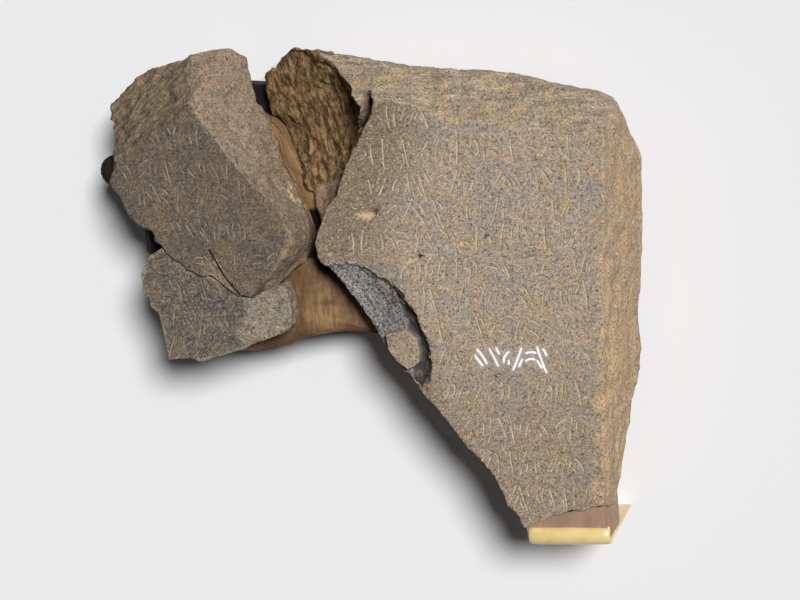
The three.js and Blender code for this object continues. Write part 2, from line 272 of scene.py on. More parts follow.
def on_sheet(points):
    """Where points lie on the drawing that the outlines come from, before it was levelled and centred."""
    x, y = (points[:, :2] - SHEET_SHIFT).T
    turn, lift = math.cos(LEVELLING), math.sin(LEVELLING)
    return np.stack([x * turn - y * lift, y * turn + x * lift], axis=1)


def links(line):
    """The straight pieces of an open line, as one array of ends."""
    line = np.asarray(line, float)
    return np.stack([line[:-1], line[1:]], axis=1)


def inside(spots, outline):
    """How far spots lie inside a closed outline: millimetres to its line, negative outside."""
    start = np.asarray(outline, float)
    end = np.roll(start, -1, axis=0)
    near = np.full(len(spots), 1e9)
    crossed = np.zeros(len(spots), bool)
    for (ax, ay), (bx, by) in zip(start, end):
        x, y = spots.T
        t = np.clip(((x - ax) * (bx - ax) + (y - ay) * (by - ay)) / ((bx - ax) ** 2 + (by - ay) ** 2), 0, 1)
        near = np.minimum(near, np.hypot(x - ax - t * (bx - ax), y - ay - t * (by - ay)))
        if ay != by:
            crossed ^= ((ay > y) != (by > y)) & (x < ax + (y - ay) / (by - ay) * (bx - ax))
    return np.where(crossed, near, -near)


# Marks of the worn writing, none of them a letter: two or three strokes that run the same way and never
# meet. Each stroke is a curve from its first point past the second to the third, in shares of the row's
# height.
MARKS = [
    [[(0.14, 1.02), (0.00, 0.55), (0.06, -0.02)], [(0.36, 0.80), (0.29, 0.6), (0.32, 0.38)]],
    [[(0.52, 1.08), (0.30, 0.6), (0.02, -0.08)], [(0.52, 0.48), (0.44, 0.36), (0.34, 0.14)]],
    [[(0.02, 0.94), (0.24, 0.6), (0.04, 0.12)], [(0.34, 0.84), (0.52, 0.56), (0.36, 0.24)]],
    [[(0.00, 0.14), (0.10, 0.62), (0.34, 1.02)], [(0.30, 0.04), (0.38, 0.36), (0.58, 0.66)]],
    [[(0.04, 1.12), (0.14, 0.5), (0.36, -0.22)], [(0.34, 1.00), (0.40, 0.84), (0.48, 0.66)],
     [(0.00, 0.38), (0.04, 0.24), (0.12, 0.04)]],
    [[(0.00, 0.76), (0.26, 0.90), (0.54, 0.80)], [(0.04, 0.34), (0.30, 0.48), (0.50, 0.40)]],
    [[(0.46, 1.04), (0.38, 0.75), (0.26, 0.58)], [(0.20, 0.40), (0.14, 0.2), (-0.02, -0.04)],
     [(0.56, 0.52), (0.52, 0.4), (0.44, 0.24)]],
    [[(0.20, 1.12), (0.12, 0.4), (0.18, -0.28)], [(0.42, 0.92), (0.40, 0.84), (0.41, 0.74)]],
    [[(0.00, 0.88), (0.12, 0.5), (0.02, 0.14)], [(0.30, 1.04), (0.44, 0.56), (0.32, -0.06)]],
    [[(0.58, 0.98), (0.28, 0.86), (0.06, 0.58)], [(0.56, 0.44), (0.36, 0.36), (0.16, 0.10)]],
    [[(0.02, 0.92), (0.24, 0.54), (0.46, 0.04)], [(0.36, 1.00), (0.44, 0.88), (0.54, 0.68)]],
    [[(0.34, 1.00), (0.26, 0.5), (0.36, -0.04)], [(0.06, 0.58), (0.04, 0.52), (0.06, 0.44)]],
    [[(0.50, 0.86), (0.16, 0.70), (0.10, 0.20)], [(0.50, 0.30), (0.47, 0.24), (0.46, 0.14)]],
]
SEGMENTS = 7


def written_rows(rows, height, seed, picks=()):
    """Short straight pieces of every stroke of the rows (y, first x, last x), as one array of ends."""
    chance = np.random.default_rng(seed)
    picks = list(picks)
    pieces = []
    for y, first, last in rows:
        x = first
        while x < last - 3:
            mark = np.array(MARKS[picks.pop(0) if picks else chance.integers(len(MARKS))])
            size = height * chance.uniform(0.74, 1.2)
            lean = chance.uniform(-0.10, 0.18)
            flip = chance.uniform() < 0.35
            mark[..., 1] += chance.uniform(-0.12, 0.10) + chance.uniform(-0.04, 0.04, mark[..., 1].shape)
            mark[..., 0] += lean * mark[..., 1] + chance.uniform(-0.03, 0.03, mark[..., 0].shape)
            mark[..., 0] = 0.55 - mark[..., 0] if flip else mark[..., 0]
            t = np.linspace(0, 1, SEGMENTS + 1)[:, None]
            a, b, c = (mark[:, None, i] for i in range(3))
            curve = (1 - t) ** 2 * a + 2 * t * (1 - t) * b + t * t * c
            curve = curve * (size, size) + (x, y - size * 0.42)
            pieces.append(np.stack([curve[:, :-1], curve[:, 1:]], axis=2).reshape(-1, 2, 2))
            x += size * chance.uniform(0.62, 0.82)
            if not picks and chance.uniform() < 0.2:
                dot = np.array([x, y + chance.uniform(-1, 1)])
                pieces.append(np.stack([dot, dot + (0.5, 0.3)])[None])
                x += height * 0.24
    return np.concatenate(pieces)


FIELD_STEP = 0.3
FAR = 5.0


def stroke_field(pieces, low, high):
    """A function that gives the distance to the nearest stroke, up to FAR, read from a fine grid."""
    shape = np.ceil((np.asarray(high) - low) / FIELD_STEP).astype(int) + 2
    field = np.full(shape, FAR, np.float32)
    axes_xy = [low[i] + FIELD_STEP * np.arange(shape[i]) for i in range(2)]
    for a, b in pieces:
        first = np.maximum(((np.minimum(a, b) - FAR - low) / FIELD_STEP).astype(int), 0)
        last = np.maximum(((np.maximum(a, b) + FAR - low) / FIELD_STEP).astype(int), 0)
        window = tuple(slice(f, e) for f, e in zip(first, last))
        x, y = (axes_xy[0][window[0], None], axes_xy[1][None, window[1]])
        way = b - a
        t = np.clip(((x - a[0]) * way[0] + (y - a[1]) * way[1]) / (way @ way + 1e-9), 0, 1)
        away = np.hypot(x - a[0] - t * way[0], y - a[1] - t * way[1])
        field[window] = np.minimum(field[window], away)

    def distance(points):
        spot = (points[:, :2] - low) / FIELD_STEP
        cell = np.clip(np.floor(spot).astype(int), 0, shape - 2)
        part = np.clip(spot - cell, 0, 1)
        i, j = cell.T
        u, v = part.T
        return ((1 - u) * (1 - v) * field[i, j] + u * (1 - v) * field[i + 1, j]
                + (1 - u) * v * field[i, j + 1] + u * v * field[i + 1, j + 1])
    return distance


ROW_HEIGHT = 12.8
STROKE_HALF = 0.5
STROKE_DEPTH = 0.6


def cut_strokes(points, away, depth=STROKE_DEPTH):
    """Lowers the face along each stroke by the depth times 1 less the square of how far out a point is."""
    drop = depth * np.clip(1 - (away / (STROKE_HALF + 0.25)) ** 2, 0, 1)
    lowered = points.copy()
    lowered[:, 2] -= drop
    return lowered


def hollow(points, centre, length, width, turn, depth):
    """A pit: the depth times (1 - u^2 - v^2) to the power 0.6, u and v being shares of the half axes."""
    x, y = (points[:, :2] - centre).T
    u = (x * math.cos(turn) + y * math.sin(turn)) / (length / 2)
    v = (y * math.cos(turn) - x * math.sin(turn)) / (width / 2)
    return depth * np.clip(1 - (u * u + v * v), 0, 1) ** 0.6


def ragged(points, seed):
    """Sideways shifts of up to a millimetre that break up straight edges, as two columns."""
    shifts = [0.9 * grain(points, 7, seed + i) + 0.6 * grain(points, 2.8, seed + 2 + i) for i in (0, 5)]
    return np.stack(shifts, axis=1)


def keep_in_box(points):
    """Holds the points inside the CAD model's box."""
    return np.clip(points, np.array(cad_low) / MM, np.array(cad_high) / MM)


# Outlines and lines are drawn on the sheet, and rows and pits are placed on the levelled stone. The faces of
# the stones lie at FACE_LEVEL, below BACKING_TOP the stones sit in the backing, and ARRIS is where the face
# meets the side. A row is (y, first x, last x), and a pit (centre, length, width, turn, depth, paleness).
FACE_LEVEL = 80
BACKING_TOP = 17
ARRIS = 176
LARGE_ROWS = [
    (124.5, 30, 84), (99.5, 14, 158), (78.5, 14, 160), (58.5, 26, 156), (40.0, -4, 160), (20.5, 30, 160),
    (0.5, 40, 157), (-21.5, 45, 153), (-64.5, 54, 154), (-90.0, 62, 150), (-114.5, 76, 150),
    (-138.5, 90, 148),
]
CHALK_ROW = (-41.5, 79, 132)
CHALK_MARKS = (3, 10, 12, 1, 5, 4)
PLAIN_PARTS_OF_CHALK_ROW = [(-42.5, 52, 78), (-43.5, 143, 155)]
BREAK_OUTLINE = [
    (-10, 66), (-7, 69), (-2, 84), (2, 97), (7, 107), (12, 115), (9, 122), (2, 124), (-5, 132), (-14, 145),
    (-22, 158), (-50, 175), (-69, 165), (-84, 150), (-86, 131), (-83, 110), (-74, 97), (-63, 79),
    (-55, 63), (-48, 53), (-40, 50), (-34, 66), (-19, 73)]
BREAK_FOOT = [(-34, 66), (-19, 73), (-12, 66), (-18, 51), (-22, 36), (-30, 30), (-44, 40), (-42, 55)]
GREY_FACET = [(-11, 86), (-3, 89), (0, 80), (-6, 68), (-14, 64), (-15, 74)]
SPUR = [(-23, 162), (-5, 163), (22, 158), (28, 140), (22, 133), (14, 137), (12, 129), (8, 118), (4.5, 109),
        (7, 122), (6, 131), (-2, 143), (-12, 149)]
SPUR_START = 136
SPUR_GROOVE = [(13.5, 138), (14.5, 135), (13.6, 129), (9.3, 117.3), (5, 105.5)]
CHIP_CENTRE = (16, -20)
CHIP_HALVES = (52, 33, 10)
CHIP_TURN = math.radians(-51)
CHIP_SKIRT = [(-10, 15), (10, 14), (30, -2), (46, -30), (56, -63), (37, -49), (4, -7)]
CHIP_BAND = [(30, 18), (36, 12), (46, -5), (57, -28), (59, -40), (56, -62), (45, -55), (44, -31), (40, -17),
             (34.7, 0)]
LEFTOVER = [(26.7, -23.4), (33, -20.5), (40, -19.7), (48.3, -25.3), (50.5, -33), (49.7, -40.4), (42, -47.3),
            (33.6, -40.3), (28, -33.7)]
PITS = [((9.5, 59.5), 18, 6.5, 0.1, 1.8, 1.0), ((76, 38.3), 12, 3.8, 0.1, 1.2, 0.8),
        ((40, 26.5), 11, 5.5, 0.3, 1.5, 0.7), ((45.5, 29.5), 5, 3.6, 0.5, 3.6, 0.0),
        ((-16.7, 34.6), 6, 4, 0.9, 1.6, 0.6), ((18, 62), 6, 3.4, 0.3, 2.6, 0.1),
        ((124, -126), 4.5, 4, 0, 0.8, 0.6), ((92, 41), 3, 2.4, 0, 1.4, 0.1)]

points, faces = node_shell("large_fragment")
large_field = stroke_field(
    np.concatenate([written_rows(LARGE_ROWS + PLAIN_PARTS_OF_CHALK_ROW, ROW_HEIGHT, 5),
                    written_rows([CHALK_ROW], ROW_HEIGHT, 8, CHALK_MARKS)]),
    (-75.0, -165.0), (192.0, 175.0))


def chip_share(points):
    """1 inside the flat ball that cut the chip, 0 outside it, with a narrow ragged edge between."""
    spots = on_sheet(points) - CHIP_CENTRE
    u = (spots[:, 0] * math.cos(CHIP_TURN) + spots[:, 1] * math.sin(CHIP_TURN)) / CHIP_HALVES[0]
    v = (spots[:, 1] * math.cos(CHIP_TURN) - spots[:, 0] * math.sin(CHIP_TURN)) / CHIP_HALVES[1]
    w = (points[:, 2] - FACE_LEVEL) / CHIP_HALVES[2]
    ball = np.sqrt(u * u + v * v + w * w) + 0.035 * grain(points, 5, 42) + 0.02 * grain(points, 2, 43)
    return 1 - ease(1.01, 1.05, ball)


def large_spacing(middles):
    """Longest edge allowed on the large fragment: short at strokes, break and chip, long where hidden."""
    z = middles[:, 2]
    spots = on_sheet(middles)
    front = z > FACE_LEVEL - 1.5
    size = np.where(front, 2.6, 2.7)
    size = np.where(front & (large_field(middles) < 1.1), 1.0, size)
    size = np.where(inside(spots, BREAK_OUTLINE) > 0, 1.6, size)
    size = np.where(chip_share(middles) > 0, 1.4, size)
    rims = np.minimum(np.abs(inside(spots, LEFTOVER)), np.abs(inside(spots, CHIP_BAND)))
    size = np.where(rims < 2.0, 0.9, size)
    size = np.where(z < 30, 5.0, size)
    return np.where(z < 18, 12.0, size)


points, faces = refine(points, faces, large_spacing)
chipped = chip_share(points)
spots = on_sheet(points)
in_break = ease(-1, 2, inside(spots, BREAK_OUTLINE)) * (points[:, 2] < 79)
break_foot = ease(-1, 2, inside(spots, BREAK_FOOT)) * (points[:, 2] < 78) * (1 - in_break)
facet = ease(-1, 1, inside(spots, GREY_FACET)) * (points[:, 2] < 79.5)
spur = ease(-1, 2, inside(spots, SPUR))
beyond = np.clip(spots[:, 1] - SPUR_START, 0, 30)
spur_level = FACE_LEVEL - 0.98 * beyond - 0.029 * beyond ** 2
points[:, 2] += spur * (points[:, 2] > 30) * np.clip(spur_level - points[:, 2], -9, 30)
points[:, 2] += facet * (points[:, 2] > 45) * np.clip(76 - points[:, 2], 0, 14)
points[:, :2] += ragged(points, 101) * (points[:, 2] > BACKING_TOP)[:, None]
points = relax(points, faces, 5)
out = normals_of(points, faces)
spots = on_sheet(points)
z = points[:, 2]
front = ease(0.9, 0.97, out[:, 2]) * ease(75, 78, z) * (1 - in_break) * (1 - chipped)
hidden = ease(0.3, 0.6, -out[:, 2]) + (z < BACKING_TOP)
side = ease(ARRIS - 6, ARRIS, spots[:, 0]) * (1 - front) * ease(0.3, 0.5, out[:, 0])
slope = (1 - front) * (1 - chipped) * (1 - in_break) * (1 - side) * (1 - break_foot) * (1 - facet)
top = slope * ease(115, 122, spots[:, 1])
flute_x = spots[:, 0] + 0.22 * spots[:, 1] + 1.0 * grain(points, 9, 30)
flute = np.stack([flute_x, spots[:, 1] / 2.2, z / 3], axis=1)
ridges = 1.3 * (0.6 - 2 * np.abs(grain(flute, 6.5, 31))) + 0.9 * grain(flute, 3.0, 32)
ridges += 1.6 * grain(points, 14, 37) + 0.8 * grain(points, 3.2, 38)
strata = np.stack([spots[:, 0] / 8, spots[:, 1], z], axis=1)
rough = 1.0 * grain(points, 13, 2) + 0.55 * fine_grain(points, 5.5, 3)
lift = front * (0.35 * grain(points, 26, 11) + 0.20 * grain(points, 7, 12) + 0.16 * grain(points, 2.8, 13))
lift += top * (0.6 * rough + 0.5 * fine_grain(strata, 4.0, 21))
lift += (slope - top) * 0.7 * rough
lift += side * (0.25 * grain(points, 20, 14) + 0.12 * grain(points, 4, 15))
lift += in_break * ridges
lift += (break_foot + facet) * 0.5 * rough
split_along = np.stack([(spots[:, 0] + spots[:, 1]) / 1.4, (spots[:, 1] - spots[:, 0]) / 5, z], axis=1)
lift += chipped * (0.7 * fine_grain(split_along, 4.0, 41) + 0.35 * grain(points, 2.4, 44))
lift *= np.clip(1 - hidden, 0, 1)
points = points + out * lift[:, None]
band = chipped * ease(-1.0, 1.2, inside(spots, CHIP_BAND) + 0.8 * grain(points, 5, 45))
points[:, 2] -= 2.6 * band * (out[:, 2] > 0.2)
left_over = ease(-0.5, 0.5, inside(spots, LEFTOVER) + 0.9 * grain(points, 6, 46)) * (out[:, 2] > 0.2)
points[:, 2] = points[:, 2] * (1 - left_over) + left_over * np.maximum(points[:, 2], 78.9 + 0.4 * rough)
chipped = chipped * (1 - left_over)
band = band * (1 - left_over)
front = np.maximum(front, left_over)
away = large_field(points)
away = np.where(front > 0.5, away, FAR)
points = cut_strokes(points, away)
cream = np.zeros(len(points))
painted_shade = np.zeros(len(points))
bent = points.copy()
bent[:, :2] += 1.4 * ragged(points, 110)
# Pits without a pale fill get near black painted in their hollows: painted shade.
for centre, length, width, turn, depth, pale in PITS:
    sink = hollow(bent, centre, length, width, turn, depth) * (front > 0.5)
    points[:, 2] -= sink
    filled = ease(0.2, 0.7, sink / depth + 0.55 * grain(points, 3.0, 50)) * (sink > 0)
    cream = np.maximum(cream, pale * filled)
    painted_shade = np.maximum(painted_shade, 0.9 * ease(0.3, 0.8, sink / depth)) if pale < 0.2 else painted_shade
points = keep_in_box(points)
spots = on_sheet(points)
edge = (1 - ease(3, 9, np.abs(spots[:, 0] - ARRIS))) * ease(-125, 60, -spots[:, 1]) * (out[:, 2] > 0.2)
# Painted shade, partly brown tone: the face darkens and browns towards its left, its foot and the chip's
# skirt, away from the lamp. On the chip, the band down its right wall and its right part are darkened as
# painted shade.
painted_shade_brown = front * (0.75 * (1 - ease(-5, 45, spots[:, 0] - 0.35 * np.abs(spots[:, 1] - 35)))
                + 0.3 * (1 - ease(0, 14, -inside(spots, CHIP_SKIRT))) + 0.34 * ease(-10, 110, -spots[:, 1]))
chip_shade = np.clip(band + 0.35 * ease(-20, 10, spots[:, 0] - 20), 0, 1)
painted_shade_brown = np.clip(painted_shade_brown, 0, 1) * (1 - chipped) * (1 - 0.75 * left_over) + chipped * chip_shade
# The groove down the break's right edge is sunk and painted dark: painted shade along that edge.
groove = stroke_field(links(SPUR_GROOVE), (-20.0, 95.0), (35.0, 165.0))(spots)
groove = (1 - ease(0.8, 3.0, groove + 0.9 * grain(points, 4, 51))) * ease(35, 50, z) * (1 - front)
points[:, 2] -= 5.0 * groove
painted_shade = np.maximum(painted_shade, 0.6 * groove)
chalk_y, chalk_first, chalk_last = CHALK_ROW
chalk = (ease(chalk_first - 3, chalk_first - 1, points[:, 0])
         * (1 - ease(chalk_last + 5, chalk_last + 7, points[:, 0]))
         * ease(-11, -8.5, -np.abs(points[:, 1] - chalk_y)) * front)


def ranges(tree, table):
    """For each name a smooth step: (value, low end, high end, result at the low end, result at the high)."""
    return {name: node(tree, "MapRange", {"Value": value, "From Min": low, "From Max": high, "To Min": first,
                                          "To Max": last}, interpolation_type="SMOOTHSTEP").outputs[0]
            for name, (value, low, high, first, last) in table.items()}


def layered(tree, colour, layers):
    """The first colour with each (share, paint) laid over it in turn."""
    for share, paint in layers:
        paint = linear(paint) if isinstance(paint, str) else paint
        colour = node(tree, "Mix", {0: share, 6: colour, 7: paint}, data_type="RGBA").outputs[2]
    return colour


MASKS = ("stroke", "chalk", "fresh", "deep", "slope", "side", "cream", "painted_shade", "edge", "painted_shade_brown")


def basalt(name, tones, offset, salt_low=0.62, salt_high=1.46):
    """Weathered fine basalt: mottled face, tan slopes, brown break, grey fresh chip, dusty strokes.

    Clouds of 28, 11 and 3 mm tint the face, and grains of 1.5 mm and wisps of 4.5 mm lighten and darken all
    but the dust. The peaks of noise of 1.15 and 1.7 mm are pale crystals and dark pores. The streaks on
    slopes, side and break are noise drawn out along the way that each was dressed, stained or split. Grains
    finer than a millimetre don't show in the render, so they are drawn that coarse.
    """
    material, tree = bare_material(name)
    spot = node(tree, "TexCoord").outputs["Object"]
    place = node(tree, "Mapping", {"Vector": spot, "Location": offset}).outputs[0]
    mask = {key: node(tree, "Attribute", attribute_name=key, attribute_type="GEOMETRY").outputs["Fac"]
            for key in MASKS}
    run, fall, split_way, other = (
        node(tree, "Mapping", {"Vector": place, "Scale": scale, "Rotation": turn},
             vector_type="TEXTURE").outputs[0]
        for scale, turn in (tones["run"], ((1.0, 14.0, 1.0), (0, 0, 0)), tones["split"],
                            ((1.0, 1.0, 1.0), (0.5, 0.4, 0.8))))
    noise = {key: node(tree, "TexNoise", {"Vector": where, "Scale": 1 / (size * MM), "Detail": detail,
                                          "Roughness": rough}).outputs[0]
             for key, (where, size, detail, rough) in {
                 "cloud": (place, 28, 5.0, 0.6), "patch": (place, 11, 4.0, 0.62),
                 "salt": (place, 1.5, 3.0, 0.8),
                 "wisp": (place, 4.5, 4.0, 0.65), "streak": (run, 4, 5.0, 0.65),
                 "drip": (fall, 6, 4.0, 0.55),
                 "split": (split_way, 2.4, 5.0, 0.7), "pore": (other, 1.7, 1.0, 0.5),
                 "blot": (other, 6.0, 4.0, 0.6), "fleck": (other, 1.15, 0.5, 0.5),
                 "tint": (other, 3.2, 3.0, 0.7)}.items()}
    vary = ranges(tree, {"wander": (noise["salt"], 0.25, 0.75, -0.28, 0.28),
                         "halo": (mask["chalk"], 0.0, 1.0, 0.0, 0.36),
                         "edge": (noise["patch"], 0.40, 0.64, 0.1, 0.9)})
    line = node(tree, "Math", {0: mask["stroke"], 1: vary["wander"]}, operation="ADD").outputs[0]
    share = ranges(tree, {
        "cool": (noise["cloud"], 0.42, 0.58, 0.0, 0.9), "warm": (noise["patch"], 0.46, 0.64, 0.0, 0.8),
        "streak": (noise["streak"], 0.36, 0.64, 0.0, 1.0), "stain": (noise["patch"], 0.50, 0.66, 0.0, 0.6),
        "drip": (noise["drip"], 0.38, 0.62, 0.0, 1.0), "split": (noise["split"], 0.40, 0.62, 0.0, 1.0),
        "pepper": (noise["pore"], 0.50, 0.60, 0.0, 0.9), "grit": (noise["fleck"], 0.50, 0.62, 0.0, 0.95),
        "salt": (noise["salt"], 0.30, 0.70, salt_low, salt_high),
        "wisp": (noise["wisp"], 0.35, 0.65, 0.91, 1.09),
        "pore": (noise["pore"], 0.60, 0.70, 0.0, 0.6), "fleck": (noise["fleck"], 0.60, 0.72, 0.0, 0.5),
        "tint": (noise["tint"], 0.46, 0.66, 0.0, 0.5),
        "worn": (noise["blot"], 0.34, 0.60, tones["dust_least"], tones["dust_most"])})
    # The "cut" share is painted shade: a dark line along the edge of each stroke, where the cut throws its
    # shadow.
    share |= ranges(tree, {
        "cut": (line, 0.55, 1.0, 0.6, 0.0),
        "dust": (line, 0.35, 0.75, share["worn"], 0.0),
        "halo": (line, 0.3, 3.8, vary["halo"], 0.0),
        "white": (line, 0.55, 0.95, mask["chalk"], 0.0)})
    face = layered(tree, linear(tones["face"]), [(share["cool"], tones["face_cool"]),
                                                 (share["warm"], tones["face_warm"]),
                                                 (share["tint"], tones["face_tint"]),
                                                 (mask["painted_shade_brown"], tones["painted_shade_brown"])])
    slope = layered(tree, linear(tones["slope_dark"]), [(share["streak"], tones["slope"]),
                                                        (share["stain"], tones["slope_warm"])])
    side = layered(tree, linear(tones["side_dark"]), [(share["drip"], tones["side"]),
                                                      (share["stain"], tones["side_warm"])])
    deep = layered(tree, linear(tones["deep"]), [(share["split"], tones["deep_pale"]),
                                                 (share["stain"], tones["deep_warm"])])
    fresh = layered(tree, linear(tones["fresh"]), [(share["pepper"], tones["fresh_dark"]),
                                                   (share["grit"], tones["fresh_pale"]),
                                                   (mask["painted_shade_brown"], tones["fresh_dark"])])
    edge = node(tree, "Math", {0: vary["edge"], 1: mask["edge"]}, operation="MULTIPLY").outputs[0]
    colour = layered(tree, face, [(mask["slope"], slope), (mask["side"], side), (edge, tones["edge"]),
                                  (share["pore"], tones["pore"]), (share["fleck"], tones["fleck"]),
                                  (mask["deep"], deep)])
    for part in ("salt", "wisp"):
        colour = node(tree, "Mix", {0: 1.0, 6: colour, 7: share[part]}, data_type="RGBA",
                      blend_type="MULTIPLY").outputs[2]
    # Painted shade: the last layer lays near black into the hollows of pits, cracks and the groove, where
    # their shade falls.
    colour = layered(tree, colour, [
        (mask["fresh"], fresh), (share["cut"], tones["pore"]),
        (share["dust"], tones["dust"]), (mask["cream"], "#cbb08a"), (share["halo"], "#c6c4c4"),
        (share["white"], "#f6f6f7"), (mask["painted_shade"], "#120e0b")])
    height = node(tree, "Math", {0: noise["salt"], 1: share["pore"]}, operation="SUBTRACT")
    bump = node(tree, "Bump", {"Height": height.outputs[0], "Strength": 0.7, "Distance": 0.7 * MM})
    shade = node(tree, "BsdfPrincipled", {"Base Color": colour, "Roughness": 0.84,
                                          "Normal": bump.outputs[0]})
    shade.inputs["Specular IOR Level"].default_value = 0.3
    node(tree, "OutputMaterial", {"Surface": shade.outputs[0]})
    return material


def add_masks(piece, masks):
    """Stores one value a point for each mask of the basalt; those not given are 0, with no stroke near."""
    count = len(piece.data.vertices)
    for key in MASKS:
        values = masks.get(key, np.full(count, FAR if key == "stroke" else 0.0))
        stored = piece.data.attributes.new(key, "FLOAT", "POINT")
        stored.data.foreach_set("value", np.asarray(values, np.float32))


# Each way is how far the streaks are drawn out along x, y and z, and how they are then turned.
ALONG_TOP = ((7.0, 1.0, 1.0), (0, 0, 0))
DOWN_FLUTES = ((1.0, 3.0, 1.0), (0, 0, 0.22))
LARGE_TONES = {
    "face": "#a08f7e", "face_cool": "#958b83", "face_warm": "#a89075", "face_tint": "#b0977a",
    "painted_shade_brown": "#76654f", "edge": "#bd9f7a", "pore": "#453c34", "fleck": "#cbbda6",
    "slope": "#a18f79", "slope_dark": "#7f7161", "slope_warm": "#aa8f64", "run": ALONG_TOP,
    "side": "#a98d6d", "side_dark": "#95826c", "side_warm": "#b4946b",
    "deep": "#45341f", "deep_pale": "#8f7350", "deep_warm": "#8f6a44", "split": DOWN_FLUTES,
    "fresh": "#85807b", "fresh_dark": "#45413e", "fresh_pale": "#b4b0ab",
    "dust": "#cab799", "dust_least": 0.45, "dust_most": 1.0,
}
large_stone = put_mesh("large_stone", points, faces, basalt("weathered_basalt", LARGE_TONES, (0, 0, 0)))
add_masks(large_stone, {"stroke": away, "chalk": chalk, "fresh": chipped, "slope": slope, "side": side,
                        "deep": np.clip(in_break + 0.55 * break_foot, 0, 1), "cream": cream, "painted_shade": painted_shade,
                        "edge": edge, "painted_shade_brown": painted_shade_brown})
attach(large_stone, "root")
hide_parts("large_fragment")

# Upper-left fragment: the same basalt with a darker skin. Its inscribed face lies between a smoother tan
# slope at its right and a rough, diagonally scored one at its upper left. The steep wall under the right
# slope has the backing's brown coat on it. A diagonal crack with a small loose wedge crosses its foot.

UPPER_ROWS = [(118, -136, -97), (95.5, -160, -76), (76.5, -151, -74), (52, -136, -76), (30.5, -114, -47)]
CRACK = [(-98, 27), (-93, 18), (-88, 10), (-82, 3), (-77, -2)]
WEDGE = [(-98, 24), (-93, 16), (-86, 7), (-79, -1), (-88, 3), (-97, 9), (-104, 12)]
RIGHT_SLOPE = [(-122, 148), (-117, 138.5), (-111, 128), (-99, 111), (-86, 95.5), (-70, 77), (-53, 58),
               (-44, 46), (-43, 35), (-50, 22), (-58, 6), (-66, -8), (-30, -5), (-15, 40), (-20, 60),
               (-60, 180), (-92, 178), (-116, 160)]
PALE_RIMS = [(-66, 110), (-62.6, 100.4), (-59.2, 88.1), (-54.3, 74.4), (-49.4, 62.1), (-40.8, 50.3),
             (-29.2, 30.7), (-34.9, 22.1), (-42.2, 12.6), (-53, 1.4), (-62.4, -4.2)]
SCORE_TURN = math.radians(52)
points, faces = node_shell("upper_left_fragment")
upper_field = stroke_field(written_rows(UPPER_ROWS, ROW_HEIGHT, 21), (-180.0, -5.0), (-30.0, 175.0))
crack_field = stroke_field(links(CRACK), (-120.0, -15.0), (-60.0, 45.0))


def in_crack(points):
    """Distance to the crack, drawn on the sheet."""
    return crack_field(on_sheet(points))


def upper_spacing(middles):
    """Longest edge allowed on the upper-left fragment: shortest at its strokes and its crack."""
    front = middles[:, 2] > FACE_LEVEL - 1.5
    size = np.where(front & (upper_field(middles) < 1.4), 0.8, 2.0)
    size = np.where(front & (in_crack(middles) < 3), 0.6, size)
    size = np.where(~front & (inside(on_sheet(middles), RIGHT_SLOPE) < 1), 1.5, size)
    return np.where(middles[:, 2] < 18, 10.0, np.where(middles[:, 2] < 33, 3.5, size))


points, faces = refine(points, faces, upper_spacing)
points[:, :2] += ragged(points, 120) * (points[:, 2] > BACKING_TOP)[:, None]
points = relax(points, faces, 5)
out = normals_of(points, faces)
spots = on_sheet(points)
z = points[:, 2]
front = ease(0.9, 0.97, out[:, 2]) * ease(76, 78.5, z)
hidden = np.clip(ease(0.3, 0.6, -out[:, 2]) + (z < BACKING_TOP), 0, 1)
right_slope = ease(-0.7, 0.7, inside(spots, RIGHT_SLOPE) + 0.9 * grain(points, 3.5, 54))
front = front * (1 - right_slope)
coated = right_slope * (1 - ease(36, 40, z + 1.0 * grain(points, 5, 55)))
undercut = ease(110, 120, spots[:, 1]) * right_slope * np.clip(37 - z, 0, 21)
points[:, 0] -= 0.7 * undercut
scored = (1 - front) * (1 - right_slope) * (spots[:, 1] > 60)
along = (spots[:, 0] * math.cos(SCORE_TURN) + spots[:, 1] * math.sin(SCORE_TURN)) / 6
over = spots[:, 1] * math.cos(SCORE_TURN) - spots[:, 0] * math.sin(SCORE_TURN)
tilted = np.stack([along, over, z], axis=1)
rough = 0.9 * grain(points, 12, 52) + 0.5 * fine_grain(points, 5, 53)
lift = front * (0.35 * grain(points, 24, 61) + 0.18 * grain(points, 6.5, 62) + 0.12 * grain(points, 2.4, 63))
lift += right_slope * (1 - coated) * (0.35 * rough + 0.22 * fine_grain(points, 3.2, 57))
scores = 1.3 * (0.5 - np.abs(2 * grain(tilted, 5.2, 71)))
lift += scored * (1.1 * rough + scores + 0.7 * fine_grain(tilted, 2.6, 72))
lift += (1 - front) * (1 - right_slope) * (1 - scored) * 0.6 * rough
points = points + out * (lift * (1 - hidden))[:, None]
away = np.where(front > 0.5, upper_field(points), FAR)
points = cut_strokes(points, away)
wedge = ease(-0.3, 0.6, inside(on_sheet(points), WEDGE)) * front
points[:, 2] -= 1.2 * wedge
